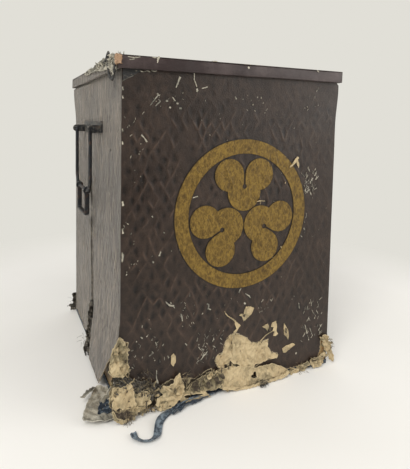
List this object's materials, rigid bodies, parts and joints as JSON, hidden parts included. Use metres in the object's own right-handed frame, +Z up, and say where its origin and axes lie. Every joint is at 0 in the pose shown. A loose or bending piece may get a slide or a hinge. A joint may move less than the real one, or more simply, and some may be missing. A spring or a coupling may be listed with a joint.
{
  "type": "armour storage chest",
  "caption": "Tall lacquered storage chest of woven bamboo on a wooden frame, with a lift-off lid, a round gold crest and iron drop handles on its sides.",
  "frame": {"origin": "centre of the chest's base on the floor, without the loose binding and the torn corner flap", "axes": "+Z up, front with the crest faces -Y, +X to the right seen from the front"},
  "size_m": [0.503, 0.498, 0.56],
  "materials": {
    "lacquered_cover": "glossy dark red-brown lacquer over paper and hide, scuffed and flaked",
    "lid_lacquer": "glossy purplish brown lacquer, worn along its edges",
    "woven_bamboo": "plaited split bamboo under a layer of torn paper",
    "frame_timber": "plain planed cedar",
    "lining_paper": "aged handmade paper",
    "gold_lacquer": "dull worn gold on lacquer",
    "black_iron": "black forged iron, dulled",
    "indigo_binding": "indigo-dyed leather and cloth, frayed",
    "torn_paper": "torn layered paper, beige"
  },
  "bodies": {
    "chest": {"post_front_left": "frame_timber", "post_front_right": "frame_timber", "post_back_left": "frame_timber", "post_back_right": "frame_timber", "top_rail_front": "frame_timber", "bottom_rail_front": "frame_timber", "paper_lining_front": "lining_paper", "woven_panel_front": "woven_bamboo", "base_binding_front": "indigo_binding", "top_rail_back": "frame_timber", "bottom_rail_back": "frame_timber", "paper_lining_back": "lining_paper", "woven_panel_back": "woven_bamboo", "base_binding_back": "indigo_binding", "top_rail_left": "frame_timber", "bottom_rail_left": "frame_timber", "paper_lining_left": "lining_paper", "woven_panel_left": "woven_bamboo", "base_binding_left": "indigo_binding", "top_rail_right": "frame_timber", "bottom_rail_right": "frame_timber", "paper_lining_right": "lining_paper", "woven_panel_right": "woven_bamboo", "base_binding_right": "indigo_binding", "base_board": "frame_timber", "cover_front": "lacquered_cover", "cover_back": "lacquered_cover", "cover_left_front": "lacquered_cover", "cover_left_back": "lacquered_cover", "cover_right_front": "lacquered_cover", "cover_right_back": "lacquered_cover", "crest_ring": "gold_lacquer", "crest_figure_1": "gold_lacquer", "crest_figure_2": "gold_lacquer", "crest_figure_3": "gold_lacquer", "binding_loose_end": "indigo_binding", "torn_corner_flap": "torn_paper", "handle_plate_left": "black_iron", "handle_lug_left_front": "black_iron", "handle_nail_left_front": "black_iron", "handle_lug_left_back": "black_iron", "handle_nail_left_back": "black_iron", "handle_plate_right": "black_iron", "handle_lug_right_front": "black_iron", "handle_nail_right_front": "black_iron", "handle_lug_right_back": "black_iron", "handle_nail_right_back": "black_iron"},
    "lid": {"lid_band_front": "lid_lacquer", "lid_band_back": "lid_lacquer", "lid_band_left": "lid_lacquer", "lid_band_right": "lid_lacquer", "lid_cover": "lid_lacquer", "lid_board": "frame_timber", "lid_batten_front": "frame_timber", "lid_batten_back": "frame_timber"},
    "left_bail": {"bail_left": "black_iron"},
    "left_drop_loop": {"drop_loop_left": "black_iron"},
    "right_bail": {"bail_right": "black_iron"},
    "right_drop_loop": {"drop_loop_right": "black_iron"}
  },
  "joints": [
    {"name": "lid_lift", "type": "slide", "parent": "chest", "child": "lid", "axis": [0, 0, 1], "range_m": [0, 0.15]},
    {"name": "left_bail_swing", "type": "hinge", "parent": "chest", "child": "left_bail", "pos_m": [-0.225, 0, 0.448], "axis": [0, 1, 0], "range_deg": [-4, 175]},
    {"name": "left_loop_swing", "type": "hinge", "parent": "left_bail", "child": "left_drop_loop", "pos_m": [-0.225, 0, 0.334], "axis": [0, 1, 0], "range_deg": [-5, 175]},
    {"name": "right_bail_swing", "type": "hinge", "parent": "chest", "child": "right_bail", "pos_m": [0.225, 0, 0.448], "axis": [0, -1, 0], "range_deg": [-4, 175]},
    {"name": "right_loop_swing", "type": "hinge", "parent": "right_bail", "child": "right_drop_loop", "pos_m": [0.225, 0, 0.334], "axis": [0, -1, 0], "range_deg": [-5, 175]}
  ]
}
